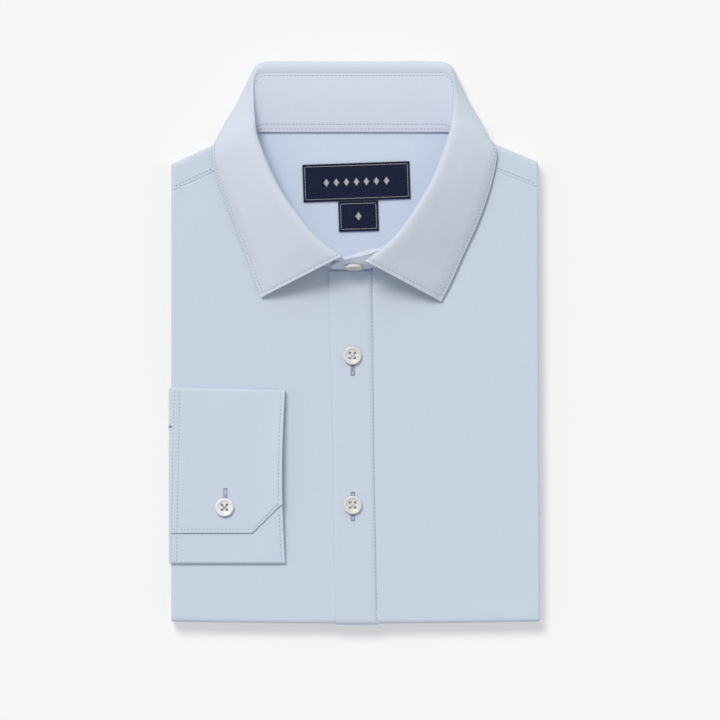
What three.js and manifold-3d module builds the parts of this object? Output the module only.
// Long sleeve dress shirt, folded flat and lying face up, in millimetres.
// +Z is up from the surface, +Y runs to the collar and +X to the viewer's right.
// The origin is on the surface, below the middle of the folded shirt.
import * as THREE from "three";
import { mergeVertices } from "three/addons/utils/BufferGeometryUtils.js";
import Module from "manifold-3d";

// Cloth
const wall = 1.2; // one layer with its loft
const collarWall = 1.5; // fused collar and stand
const sleeveWall = 2.2; // the flattened sleeve, two layers thick
const labelWall = 1.0;
const seamGap = 0.3; // between pieces at a seam, and between a piece and what it lies on

// Folded body
const stackHeight = 14; // top of the fronts above the surface
const foldRadius = stackHeight / 2;
const foldReach = 4.5; // how far the bottom and shoulder folds round outwards
const sideFold = wall + seamGap / 2; // outer radius of the pressed side folds
const turnedUnder = 12; // width of front turned under at the sides
const tailUnder = 14; // length of front that shows under the bottom fold
const bottomMiddle = -173.0;
const bottomLift = 1.2; // the bottom fold's corners lie this much higher up the page
const sides = {
  left: {
    sign: -1,
    edgeTop: 113.3,
    edgeBottom: 113.4,
    seamAtEdge: 94.2,
    seamSlope: 0.467,
    shoulderAtEdge: 110.7,
    shoulderSlope: 0.46,
  },
  right: {
    sign: 1,
    edgeTop: 113.7,
    edgeBottom: 114.8,
    seamAtEdge: 96.3,
    seamSlope: 0.405,
    shoulderAtEdge: 112.0,
    shoulderSlope: 0.418,
  },
};

// Neck seam: half an ellipse round the front, a straight line across the back
const neckFront = 47;
const neckHalf = 76.5;
const neckRise = 64.4;
const neckBack = 130.3;
const floorTop = 8.2; // top of the inner yoke in the neck hollow

// Placket
const placketLeft = { top: -16.0, middle: -13.7, bottom: -11.4 };
const placketRight = { top: 11.8, middle: 13.2, bottom: 14.9 };
const placketTop = 44.9;
const placketTucked = 0.78; // share of the bottom fold that the strip follows
const frontsMeet = 12.8; // where the under front ends and the upper one begins

// Cuff and sleeve end
const cuffTop = -28.8; // at its right corner
const cuffTilt = 1.6; // the top fold rises this much towards the sleeve
const cuffBottom = -136.3;
const cuffLeft = -111.8;
const cuffRight = -42.7; // at its corners
const cuffHollow = 1.9; // the right edge bows in this much half way
const cuffEnd = -117.4; // end of the overlap
const mitreRight = -100.2; // where the mitre leaves the cuff's right edge
const mitreLeft = -62;
const mitreEnd = -44.2; // where it meets the right edge
const underlapEnd = -84;
const sleeveEdge = -114.8;
const sleeveReach = 15; // how far the sleeve runs in under the front
const sleeveRadius = 4.6;
const sleeveInset = 0.9; // the sleeve stays this far inside the cuff's ends
const sleeveDent = 2.0; // the front's edge gives way under the sleeve
const dentInside = 0.7; // the dent begins and ends this close to the cuff's ends
const dentOutside = 0.9;

// Buttons
const buttonRadius = 5.7;
const buttonHeight = 2.4;
const buttonHole = 0.8;
const buttonHoleSpacing = 1.45;

const wasm = await Module();
wasm.setup();

const mix = THREE.MathUtils.lerp;
const degrees = THREE.MathUtils.degToRad;

// Evenly spaced values from one number to another, both included.
function steps(from, to, count) {
  return Array.from({ length: count + 1 }, (_, i) => mix(from, to, i / count));
}

// Solids and geometries

function solidOf(geometry) {
  const plain = geometry.clone();
  plain.deleteAttribute("normal");
  plain.deleteAttribute("uv");
  const merged = mergeVertices(plain, 1e-4);
  return new wasm.Manifold(
    new wasm.Mesh({
      numProp: 3,
      vertProperties: merged.attributes.position.array,
      triVerts: new Uint32Array(merged.index.array),
    }),
  );
}

function geometryOf(solid) {
  const mesh = solid.getMesh();
  const geometry = new THREE.BufferGeometry();
  geometry.setAttribute("position", new THREE.BufferAttribute(mesh.vertProperties, 3));
  geometry.setIndex(new THREE.BufferAttribute(mesh.triVerts, 1));
  geometry.computeVertexNormals();
  return geometry;
}

// A closed wall between two grids of points with the same rows and columns.
// The first grid is the face that looks out when its rows turn to its columns by the right hand.
function wallBetween(face, back) {
  const rows = face.length;
  const columns = face[0].length;
  const positions = [];
  const index = [];
  for (const grid of [face, back]) {
    for (const row of grid) {
      for (const point of row) positions.push(point.x, point.y, point.z);
    }
  }
  const at = (grid, row, column) => grid * rows * columns + row * columns + column;
  const quad = (a, b, c, d) => index.push(a, b, c, a, c, d);
  for (let i = 0; i < rows - 1; i += 1) {
    for (let j = 0; j < columns - 1; j += 1) {
      quad(at(0, i, j), at(0, i + 1, j), at(0, i + 1, j + 1), at(0, i, j + 1));
      quad(at(1, i, j), at(1, i, j + 1), at(1, i + 1, j + 1), at(1, i + 1, j));
    }
  }
  for (let i = 0; i < rows - 1; i += 1) {
    quad(at(0, i, 0), at(1, i, 0), at(1, i + 1, 0), at(0, i + 1, 0));
    const last = columns - 1;
    quad(at(0, i, last), at(0, i + 1, last), at(1, i + 1, last), at(1, i, last));
  }
  for (let j = 0; j < columns - 1; j += 1) {
    quad(at(0, 0, j), at(0, 0, j + 1), at(1, 0, j + 1), at(1, 0, j));
    const last = rows - 1;
    quad(at(0, last, j), at(1, last, j), at(1, last, j + 1), at(0, last, j + 1));
  }
  const geometry = new THREE.BufferGeometry();
  geometry.setAttribute("position", new THREE.Float32BufferAttribute(positions, 3));
  geometry.setIndex(index);
  geometry.computeVertexNormals();
  return geometry;
}

// The grid moved along its own normals, which point to the side that wallBetween calls the face.
function movedOut(grid, distance) {
  const rows = grid.length;
  const columns = grid[0].length;
  return grid.map((row, i) =>
    row.map((point, j) => {
      const down = grid[Math.min(i + 1, rows - 1)][j].clone().sub(grid[Math.max(i - 1, 0)][j]);
      const over = row[Math.min(j + 1, columns - 1)].clone().sub(row[Math.max(j - 1, 0)]);
      return point.clone().addScaledVector(down.cross(over).normalize(), distance);
    }),
  );
}

// Body envelope: the cloth over the top, its pressed side folds, and its turns at both ends

// Half width of the body at a height up the page, with the dent under the sleeve.
function edgeAt(side, y) {
  const share = (y - bottomMiddle) / (side.shoulderAtEdge - bottomMiddle);
  const plain = mix(side.edgeBottom, side.edgeTop, share);
  if (side.sign > 0) return plain;
  const low = THREE.MathUtils.smoothstep(y, cuffBottom - dentOutside, cuffBottom + dentInside);
  const high = 1 - THREE.MathUtils.smoothstep(y, cuffTop - dentInside, cuffTop + dentOutside);
  return plain - sleeveDent * low * high;
}

function seamY(side, x) {
  return side.seamAtEdge + side.seamSlope * (side.edgeTop - x);
}

function shoulderY(side, x) {
  return side.shoulderAtEdge + side.shoulderSlope * (side.edgeTop - x);
}

function neckY(x) {
  const share = Math.min(Math.abs(x) / neckHalf, 1);
  return neckFront + neckRise * (1 - Math.sqrt(1 - share * share));
}

function bottomY(x) {
  return bottomMiddle + bottomLift * (x / sides.left.edgeBottom) ** 2;
}

// A column is flat at some x, part way round the side fold, or some way back in under it.
// The result is the distance from the centre line and the depth below the outer face.
function across(column, edge, depth) {
  const centre = edge - sideFold;
  if (column.flat !== undefined) return [Math.min(column.flat, centre), depth];
  if (column.turn !== undefined) {
    const angle = Math.PI * column.turn;
    const reach = sideFold - depth;
    return [centre + reach * Math.sin(angle), sideFold - reach * Math.cos(angle)];
  }
  return [centre - column.under, 2 * sideFold - depth];
}

// A row is a share of the flat top, part way round the end fold, or some way back under it.
// The result is the place up the page and the height.
function along(row, start, end, depth) {
  const way = Math.sign(end - start);
  const centre = end - way * foldReach;
  if (row.flat !== undefined) return [mix(start, centre, row.flat), stackHeight - depth];
  if (row.turn !== undefined) {
    const angle = Math.PI * row.turn;
    const out = (foldReach - depth) * Math.sin(angle);
    return [centre + way * out, foldRadius + (foldRadius - depth) * Math.cos(angle)];
  }
  return [centre - way * row.under, depth];
}

// One point of a body panel, this deep below the envelope's outer face.
function panelPoint(side, column, row, startOf, endOf, depth) {
  const nominal = column.flat ?? side.edgeTop - sideFold - (column.under ?? 0);
  const y = along(row, startOf(nominal), endOf(nominal), 0)[0];
  const [out, sunk] = across(column, edgeAt(side, y), depth);
  const [place, height] = along(row, startOf(nominal), endOf(nominal), sunk);
  return new THREE.Vector3(side.sign * out, place, height);
}

// A wall of the envelope with its face this deep, flipped where its grid runs the other way round.
function panel(side, columns, rows, startOf, endOf, depth, flip) {
  const pointAt = (column, row, d) => panelPoint(side, column, row, startOf, endOf, d);
  const gridAt = (d) => rows.map((row) => columns.map((column) => pointAt(column, row, d)));
  const outer = gridAt(depth);
  const inner = gridAt(depth + wall);
  return flip ? wallBetween(inner, outer) : wallBetween(outer, inner);
}

const foldTurns = steps(0, 1, 7).slice(1);
const sideColumns = [...steps(0, 1, 4).map((turn) => ({ turn })), { under: turnedUnder }];
const flatTop = sides.left.seamAtEdge;
const flatBottom = bottomMiddle + bottomLift + foldReach;
const dentRows = [
  cuffTop + dentOutside,
  cuffTop - dentInside,
  cuffBottom + dentInside,
  cuffBottom - dentOutside,
];
const dentShares = dentRows.map((y) => (flatTop - y) / (flatTop - flatBottom));
const flatRows = [...steps(0, 1, 11), ...dentShares].sort((a, b) => a - b).map((flat) => ({ flat }));
const endRows = [...foldTurns.map((turn) => ({ turn })), { under: tailUnder }];

// A front: from its inner edge along the neck line to the shoulder seam, and round the side.
function front(side, innerX) {
  const first = Math.asin(innerX / neckHalf);
  const neckFlats = steps(first, Math.PI / 2, 10).map((angle) => neckHalf * Math.sin(angle));
  const outerFlats = steps(neckHalf, side.edgeBottom - sideFold - 3, 2).slice(1);
  const columns = [...[...neckFlats, ...outerFlats].map((flat) => ({ flat })), ...sideColumns];
  const startOf = (x) => (x < neckHalf - 1e-6 ? neckY(x) : seamY(side, x));
  return panel(side, columns, [...flatRows, ...endRows], startOf, bottomY, 0, side.sign < 0);
}

// The shoulder part of the yoke: from the front seam over the shoulder fold and under.
function yokeShoulder(side) {
  const flats = steps(neckHalf + seamGap, side.edgeTop - sideFold - 3, 3).map((flat) => ({ flat }));
  const rows = [...steps(0, 1, 3).map((flat) => ({ flat })), ...endRows];
  const startOf = (x) => seamY(side, x) + seamGap;
  const endOf = (x) => shoulderY(side, x);
  return panel(side, [...flats, ...sideColumns], rows, startOf, endOf, 0, side.sign > 0);
}

// The placket strip lies on both fronts and turns the bottom fold with them.
function placket() {
  const heights = [placketTop, mix(placketTop, bottomMiddle, 0.5), bottomMiddle];
  const edgeCurve = (edge) =>
    new THREE.CatmullRomCurve3([
      new THREE.Vector3(edge.top, heights[0], 0),
      new THREE.Vector3(edge.middle, heights[1], 0),
      new THREE.Vector3(edge.bottom, heights[2], 0),
    ]);
  const left = edgeCurve(placketLeft);
  const right = edgeCurve(placketRight);
  const turned = steps(0, placketTucked, 7).slice(1).map((turn) => ({ turn }));
  const rows = [...steps(0, 1, 16).map((flat) => ({ flat })), ...turned];
  const gridAt = (depth) =>
    rows.map((row) => {
      const share = row.flat ?? 1;
      return steps(left.getPoint(share).x, right.getPoint(share).x, 6).map((x) => {
        const [y, z] = along(row, placketTop, bottomY(x), depth);
        return new THREE.Vector3(x, y, z);
      });
    });
  return wallBetween(gridAt(-seamGap - wall), gridAt(-seamGap));
}

// Hidden layers: slabs with rounded edges that fuse into one solid

// Each layer's height, how far its sides and its folded ends stay back, and whether the neck cuts it.
const endBack = foldReach + 0.4;
const tailBack = foldReach + tailUnder + 0.6;
const backLayer = { low: 6.5, high: 8.9, sideBack: 1.0, endBack, neck: true };
const sideFlaps = { low: 8.7, high: 11.0, sideBack: 1.7, endBack, neck: true };
const layers = [
  { low: 0, high: 3.4, sideBack: 0.9, endBack: tailBack, neck: false }, // tail
  { low: 3.2, high: 6.7, sideBack: 2.0, endBack, neck: false }, // sleeves
  backLayer,
  sideFlaps,
  { low: 10.8, high: 12.5, sideBack: turnedUnder + 4, endBack, neck: true }, // under the fronts
];
const layerRounding = 0.46; // share of a layer's height
const neckInside = 6; // the layers' back corner lies this far inside the neck's width
const hollowMargin = 0.9;
const hollowCorner = 12; // the neck hollow narrows this much towards its back
const slotMargin = 0.4;

// Corner points of a layer's outline, anticlockwise from the bottom left.
function layerOutline(layer) {
  const { left, right } = sides;
  const leftX = left.edgeTop - layer.sideBack;
  const rightX = right.edgeTop - layer.sideBack;
  const back = neckBack - 1;
  const corner = (side, x) => [side.sign * x, shoulderY(side, x) - layer.endBack];
  const inner = neckHalf - neckInside;
  const points = [
    [-leftX, bottomMiddle + bottomLift + layer.endBack],
    [rightX, bottomMiddle + bottomLift + layer.endBack],
    corner(right, rightX),
    corner(right, inner),
    [inner - neckInside, Math.min(back, shoulderY(right, inner) - 1)],
    [neckInside - inner, Math.min(back, shoulderY(left, inner) - 1)],
    corner(left, inner),
    corner(left, leftX),
  ];
  return points.map(([x, y]) => new THREE.Vector2(x, y));
}

// Plan of the neck hollow, grown outwards by some margin.
function neckOutline(margin, backY) {
  const round = steps(-90, 90, 24).map((angle) => {
    const turn = degrees(angle);
    const y = neckFront - margin + (neckRise + margin) * (1 - Math.cos(turn));
    return new THREE.Vector2((neckHalf + margin) * Math.sin(turn), y);
  });
  const backX = neckHalf + margin - hollowCorner;
  return [...round, new THREE.Vector2(backX, backY), new THREE.Vector2(-backX, backY)];
}

function extruded(points, low, high, rounding) {
  const shape = new THREE.Shape(points);
  const geometry = new THREE.ExtrudeGeometry(shape, {
    depth: high - low - 2 * rounding,
    bevelEnabled: rounding > 0,
    bevelThickness: rounding,
    bevelSize: rounding,
    bevelOffset: -rounding,
    bevelSegments: 4,
    steps: 1,
  });
  return geometry.translate(0, 0, low + rounding);
}

function boxBetween(low, high) {
  const size = high.map((value, i) => value - low[i]);
  const middle = high.map((value, i) => (value + low[i]) / 2);
  return new THREE.BoxGeometry(...size).translate(...middle);
}

function foldedLayers() {
  const hollowFloor = backLayer.low + 0.2; // just inside the layer below, so that the slabs fuse
  const hollowPlan = neckOutline(hollowMargin, neckBack + 6);
  const hollow = solidOf(extruded(hollowPlan, hollowFloor, stackHeight + 6, 0));
  let stack = null;
  for (const layer of layers) {
    const rounding = (layer.high - layer.low) * layerRounding;
    let slab = solidOf(extruded(layerOutline(layer), layer.low, layer.high, rounding));
    if (layer.neck) slab = slab.subtract(hollow);
    stack = stack ? stack.add(slab) : slab;
  }
  const sleeveSlot = boxBetween(
    [sleeveEdge - 5, cuffBottom + slotMargin, sideFlaps.low - 0.2],
    [sleeveEdge + sleeveReach + 0.6, cuffTop - slotMargin, sideFlaps.high + 0.1],
  );
  return geometryOf(stack.subtract(solidOf(sleeveSlot)));
}

// The inner yoke: the floor of the neck hollow, running back under the stand.
function innerYoke() {
  return extruded(neckOutline(seamGap, neckBack + 1.5), floorTop - wall, floorTop, 0);
}

// Collar: a row for each section, from one leaf end round the back to the other.
// roll is the innermost line of the turned leaf, top its crown, then down the leaf to its free edge.
// neck is the stand's foot, given as an angle along the front's seam or as a point.
const leftRows = [
  { roll: [-7.4, 53.4, 37.0], edge: [-57.7, 28.0, 16.6], neck: 6 },
  { roll: [-15.5, 59.6, 37.0], edge: [-60.4, 35.0, 16.6], neck: 14 },
  { roll: [-24.2, 66.6, 36.4], edge: [-63.9, 45.5, 16.6], neck: 26 },
  { roll: [-33.6, 78.0, 35.2], edge: [-68.8, 58.8, 16.6], neck: 40 },
  { roll: [-41.6, 88.6, 33.8], edge: [-74.2, 73.0, 16.6], neck: 54 },
  { roll: [-48.4, 100.4, 31.6], edge: [-79.8, 88.2, 16.6], neck: 68 },
  { roll: [-55.0, 115.2, 28.4], edge: [-85.9, 105.8, 16.6], neck: 82 },
  { roll: [-60.0, 129.4, 24.6], edge: [-87.7, 116.5, 16.6], neck: [-71.5, 122.5, 12.8] },
  { roll: [-60.9, 135.4, 22.6], edge: [-86.9, 122.8, 15.2], neck: [-67.0, 126.4, 11.6] },
];
const rightRows = [
  { roll: [6.2, 50.6, 37.0], edge: [53.7, 25.5, 16.6], neck: 6 },
  { roll: [14.6, 57.0, 37.0], edge: [58.4, 34.2, 16.6], neck: 14 },
  { roll: [25.1, 66.4, 36.4], edge: [64.0, 46.6, 16.6], neck: 26 },
  { roll: [34.6, 79.4, 35.2], edge: [69.6, 59.0, 16.6], neck: 40 },
  { roll: [42.0, 91.0, 33.8], edge: [75.6, 72.0, 16.6], neck: 54 },
  { roll: [48.2, 102.4, 31.6], edge: [81.2, 86.4, 16.6], neck: 68 },
  { roll: [54.3, 118.0, 28.4], edge: [86.6, 105.4, 16.6], neck: 82 },
  { roll: [58.6, 130.6, 24.6], edge: [88.2, 116.5, 16.6], neck: [71.5, 122.5, 12.8] },
  { roll: [59.8, 135.8, 22.6], edge: [86.9, 122.8, 15.2], neck: [67.0, 126.4, 11.6] },
];
// Rows round the back of the left half, mirrored for the right.
const backRows = [
  {
    roll: [-61.6, 141.0, 20.6],
    top: [-65.0, 140.0, 20.8],
    outer: [-80.4, 134.4, 13.0],
    under: [-82.6, 131.2, 9.6],
    edge: [-83.4, 129.6, 6.8],
    neck: [-64.0, 128.8, 10.8],
  },
  {
    roll: [-62.2, 152.0, 17.2],
    top: [-65.2, 151.4, 16.8],
    outer: [-73.4, 147.4, 8.6],
    under: [-73.4, 142.4, 1.8],
    edge: [-73.0, 133.4, 0.6],
    neck: [-61.0, 130.2, 10.3],
  },
  {
    roll: [-61.4, 163.0, 15.0],
    top: [-63.2, 164.0, 13.4],
    outer: [-66.0, 162.6, 6.8],
    under: [-62.6, 157.4, 0.4],
    edge: [-56.0, 133.0, 0.0],
    neck: [-58.0, 130.3, 10.2],
  },
  {
    roll: [-57.0, 169.6, 14.0],
    top: [-59.0, 172.0, 12.2],
    outer: [-60.0, 172.4, 6.6],
    under: [-56.4, 167.4, 0.3],
    edge: [-47.0, 133.2, 0.0],
    neck: [-54.0, 130.3, 10.2],
  },
  {
    roll: [-46.0, 170.8, 13.8],
    top: [-46.6, 173.8, 11.8],
    outer: [-47.0, 174.2, 6.6],
    under: [-45.0, 169.4, 0.3],
    edge: [-40.0, 133.2, 0.0],
    neck: [-44.0, 130.3, 10.1],
  },
  {
    roll: [-20.0, 170.8, 13.6],
    top: [-20.0, 173.8, 11.6],
    outer: [-20.0, 174.2, 6.6],
    under: [-19.0, 169.4, 0.3],
    edge: [-18.0, 133.2, 0.0],
    neck: [-20.0, 130.3, 10.1],
  },
];
const standFoot = stackHeight + seamGap;
const leafBand = { front: 3.6, back: 5.2 }; // from the roll down to the stand's top seam
const rollRadius = 2.3;
const leafBulge = 1.6;
const mirrorScale = 0.985; // the right half of the back is this much narrower

function toPoint(values) {
  return new THREE.Vector3(...values);
}

function neckPoint(neck, sign) {
  if (Array.isArray(neck)) return toPoint(neck);
  const x = neckHalf * Math.sin(degrees(neck));
  return new THREE.Vector3(sign * x, neckY(x), standFoot + 0.3);
}

// The controls of one section, in order from the stand's foot to the leaf's free edge.
function sectionControls(row, sign, band) {
  const roll = toPoint(row.roll);
  const edge = toPoint(row.edge);
  const neck = neckPoint(row.neck, sign);
  const seam = roll.clone().lerp(neck, band / roll.distanceTo(neck));
  if (row.top) {
    return [neck, seam, roll, toPoint(row.top), toPoint(row.outer), toPoint(row.under), edge];
  }
  const out = edge.clone().sub(roll).setZ(0).normalize();
  const top = roll.clone().addScaledVector(out, rollRadius);
  top.z += rollRadius;
  const slope = (share) => {
    const point = top.clone().lerp(edge, share);
    point.z += leafBulge * 4 * share * (1 - share);
    return point;
  };
  return [neck, seam, roll, top, slope(0.33), slope(0.68), edge];
}

function mirrored(row) {
  const flip = ([x, y, z]) => [-x * mirrorScale, y, z];
  return Object.fromEntries(Object.entries(row).map(([key, values]) => [key, flip(values)]));
}

function collarSections() {
  const leftHalf = [...leftRows, ...backRows].map((row) => ({ row, sign: -1 }));
  const rightHalf = [...rightRows, ...backRows.map(mirrored)].map((row) => ({ row, sign: 1 }));
  const loop = [...leftHalf, ...rightHalf.reverse()];
  return loop.map(({ row, sign }) => {
    const back = THREE.MathUtils.smoothstep(row.roll[1], 120, 170);
    return sectionControls(row, sign, mix(leafBand.front, leafBand.back, back));
  });
}

// Sections eased between the rows, so many for each interval.
function easedSections(sections, perInterval) {
  const count = (sections.length - 1) * perInterval;
  const curveThrough = (points) => new THREE.CatmullRomCurve3(points, false, "centripetal");
  const curves = sections[0].map((_, k) => curveThrough(sections.map((section) => section[k])));
  return steps(0, 1, count).map((share) => curves.map((curve) => curve.getPoint(share)));
}

function collarLeaf() {
  const sections = easedSections(collarSections(), 2);
  const face = sections.map((controls) =>
    new THREE.CatmullRomCurve3(controls.slice(1), false, "centripetal").getPoints(15),
  );
  // Where it turns under at the back it lies flat on the surface.
  for (const point of face.flat()) point.z = Math.max(point.z, 0);
  return wallBetween(face, movedOut(face, -collarWall));
}

// Tabs past the leaf ends: the left one tucked inside, the right one over it with a rounded end.
const innerTab = [
  { foot: [13.0, 53.0, 16.6], head: [13.5, 59.2, 32.0] },
  { foot: [4.0, 49.9, 16.4], head: [3.6, 56.2, 32.4] },
];
const outerTab = [
  { foot: [1.0, 46.9, 16.2], head: [0.8, 51.2, 33.0] },
  { foot: [-9.0, 46.9, 16.4], head: [-8.6, 50.4, 30.6] },
  { foot: [-14.6, 47.0, 18.6], head: [-14.2, 48.8, 25.6] },
];

function collarStand() {
  const ends = (tab) => tab.map(({ foot, head }) => [toPoint(foot), toPoint(head)]);
  const band = collarSections().map((controls) => [controls[0], controls[1]]);
  const loop = [...ends(innerTab), ...band, ...ends(outerTab)];
  const face = easedSections(loop, 2).map(([foot, seam]) => {
    const head = seam.clone().lerp(foot, seamGap / seam.distanceTo(foot));
    return steps(0, 1, 4).map((share) => foot.clone().lerp(head, share));
  });
  return wallBetween(face, movedOut(face, -collarWall));
}

// Neck labels on the inner yoke, tilted a little as they are sewn.
const neckLabel = { width: 66.5, height: 23.3, x: 1.3, y: 99.8, tilt: 2 };
const sizeLabel = { width: 24.8, height: 18.7, x: 2.6, y: 78.5, tilt: 1.8 };

function label({ width, height, x, y, tilt }) {
  const geometry = boxBetween([-width / 2, -height / 2, 0], [width / 2, height / 2, labelWall]);
  return geometry.rotateZ(degrees(tilt)).translate(x, y, floorTop + seamGap);
}

// The sleeve's end comes out from under the front and wraps its side fold.
function sleeveEnd() {
  const centreX = sleeveEdge + sleeveRadius;
  const centreZ = sideFlaps.high - sleeveWall + sleeveRadius;
  const sectionAt = (depth) => {
    const r = sleeveRadius - depth;
    const last = Math.acos((centreX - cuffLeft + seamGap) / r);
    const turned = steps(-Math.PI / 2, last, 10).map((angle) => [
      centreX - r * Math.cos(angle),
      centreZ + r * Math.sin(angle),
    ]);
    return [[sleeveEdge + sleeveReach, centreZ - r], ...turned];
  };
  const heights = steps(cuffBottom + sleeveInset, cuffTop - sleeveInset, 3);
  const gridAt = (depth) =>
    heights.map((y) => sectionAt(depth).map(([x, z]) => new THREE.Vector3(x, y, z)));
  return wallBetween(gridAt(sleeveWall), gridAt(0));
}

// The cuff is one band, flattened and buttoned: overlap, top fold, back layer, bottom fold, underlap.
function cuff() {
  const base = stackHeight + seamGap;
  const lowMid = base + wall / 2;
  const underMid = lowMid + wall + seamGap;
  const topMid = underMid + wall + seamGap;
  const topTurn = (topMid - lowMid) / 2;
  const lowTurn = (underMid - lowMid) / 2;
  const columns = steps(0, 1, 9);
  const { clamp, mapLinear } = THREE.MathUtils;
  const rightEdge = (y) => {
    const share = clamp((cuffTop - y) / (cuffTop - cuffBottom), 0, 1);
    return cuffRight - cuffHollow * Math.sin(Math.PI * share);
  };
  const overlapEnd = (x) => {
    return mapLinear(clamp(x, mitreLeft, mitreEnd), mitreLeft, mitreEnd, cuffEnd, mitreRight);
  };
  // Middle line of the band at one place along its width: place, height and outward direction.
  const bandAt = (x) => {
    const top = mapLinear(x, cuffLeft, cuffRight, cuffTop + cuffTilt, cuffTop) - topTurn - wall / 2;
    const low = cuffBottom + lowTurn + wall / 2;
    const flats = steps(overlapEnd(x), top, 5).map((y) => [y, topMid, Math.PI / 2]);
    const over = steps(90, -90, 6).slice(1).map((angle) => {
      const turn = degrees(angle);
      return [top + topTurn * Math.cos(turn), lowMid + topTurn + topTurn * Math.sin(turn), turn];
    });
    const backs = steps(top, low, 5).slice(1).map((y) => [y, lowMid, -Math.PI / 2]);
    const round = steps(-90, -270, 6).slice(1).map((angle) => {
      const turn = degrees(angle);
      return [low + lowTurn * Math.cos(turn), lowMid + lowTurn + lowTurn * Math.sin(turn), turn];
    });
    const unders = steps(low, underlapEnd, 2).slice(1).map((y) => [y, underMid, -Math.PI * 1.5]);
    return [...flats, ...over, ...backs, ...round, ...unders];
  };
  const gridAt = (offset) =>
    columns.map((share) => {
      const nominal = mix(cuffLeft, cuffRight, share);
      return bandAt(nominal).map(([y, z, turn]) => {
        const x = mix(cuffLeft, rightEdge(y), share);
        return new THREE.Vector3(x, y + offset * Math.cos(turn), z + offset * Math.sin(turn));
      });
    });
  return wallBetween(gridAt(wall / 2), gridAt(-wall / 2));
}

// A four-hole button with a raised rim, its axis along +Z and its back at zero.
function buttonGeometry() {
  // How far in from the rim, and how high, each point of the section lies.
  const section = [
    [buttonRadius, 0],
    [1.6, 0],
    [0.3, 0.8],
    [0, 1.5],
    [0.35, 2.1],
    [0.9, buttonHeight],
    [1.6, 2.15],
    [2.2, 1.6],
    [buttonRadius, 1.5],
  ];
  const profile = section.map(([inset, z]) => new THREE.Vector2(buttonRadius - inset, z));
  let body = solidOf(new THREE.LatheGeometry(profile, 24).rotateX(Math.PI / 2));
  for (const [a, b] of [[-1, -1], [1, -1], [1, 1], [-1, 1]]) {
    const hole = new THREE.CylinderGeometry(buttonHole, buttonHole, 8, 8).rotateX(Math.PI / 2);
    hole.translate(a * buttonHoleSpacing, b * buttonHoleSpacing, 0);
    body = body.subtract(solidOf(hole));
  }
  return geometryOf(body);
}

function material(colour, roughness) {
  return new THREE.MeshStandardMaterial({ color: colour, roughness, metalness: 0 });
}

const cloth = 0xc3ceea;
const clothInside = 0xbfc9ec;
const ivory = 0xeeeae4;
const navy = 0x141a33;

const shirt = new THREE.Group();

function add(name, geometry, colour, roughness = 0.85) {
  const mesh = new THREE.Mesh(geometry, material(colour, roughness));
  mesh.name = name;
  shirt.add(mesh);
  return mesh;
}

add("folded_layers", foldedLayers(), clothInside);
add("front_under_placket", front(sides.left, -frontsMeet), cloth);
add("front_with_placket", front(sides.right, frontsMeet + seamGap), cloth);
add("placket", placket(), cloth);
add("yoke_left_shoulder", yokeShoulder(sides.left), cloth);
add("yoke_right_shoulder", yokeShoulder(sides.right), cloth);
add("yoke_inside", innerYoke(), clothInside);
add("collar_stand", collarStand(), cloth);
add("collar_leaf", collarLeaf(), cloth);
add("neck_label", label(neckLabel), navy, 0.7);
add("size_label", label(sizeLabel), navy, 0.7);
add("sleeve_end", sleeveEnd(), cloth);
add("cuff", cuff(), cloth);

const onPlacket = stackHeight + 2 * seamGap + wall;
const onCuff = stackHeight + 4 * seamGap + 3 * wall;
const buttons = [
  { name: "front_button_upper", place: [-1.2, -7.8, onPlacket], tilt: 0 },
  { name: "front_button_lower", place: [-1.0, -100.2, onPlacket], tilt: 0 },
  { name: "cuff_button", place: [-80.2, -101.5, onCuff], tilt: 0 },
  { name: "neck_button", place: [0.3, 46.9, 26.0], tilt: 72 },
];
for (const { name, place, tilt } of buttons) {
  const button = add(name, buttonGeometry(), ivory, 0.35);
  button.position.set(...place);
  button.rotation.x = degrees(tilt);
}

export default shirt;
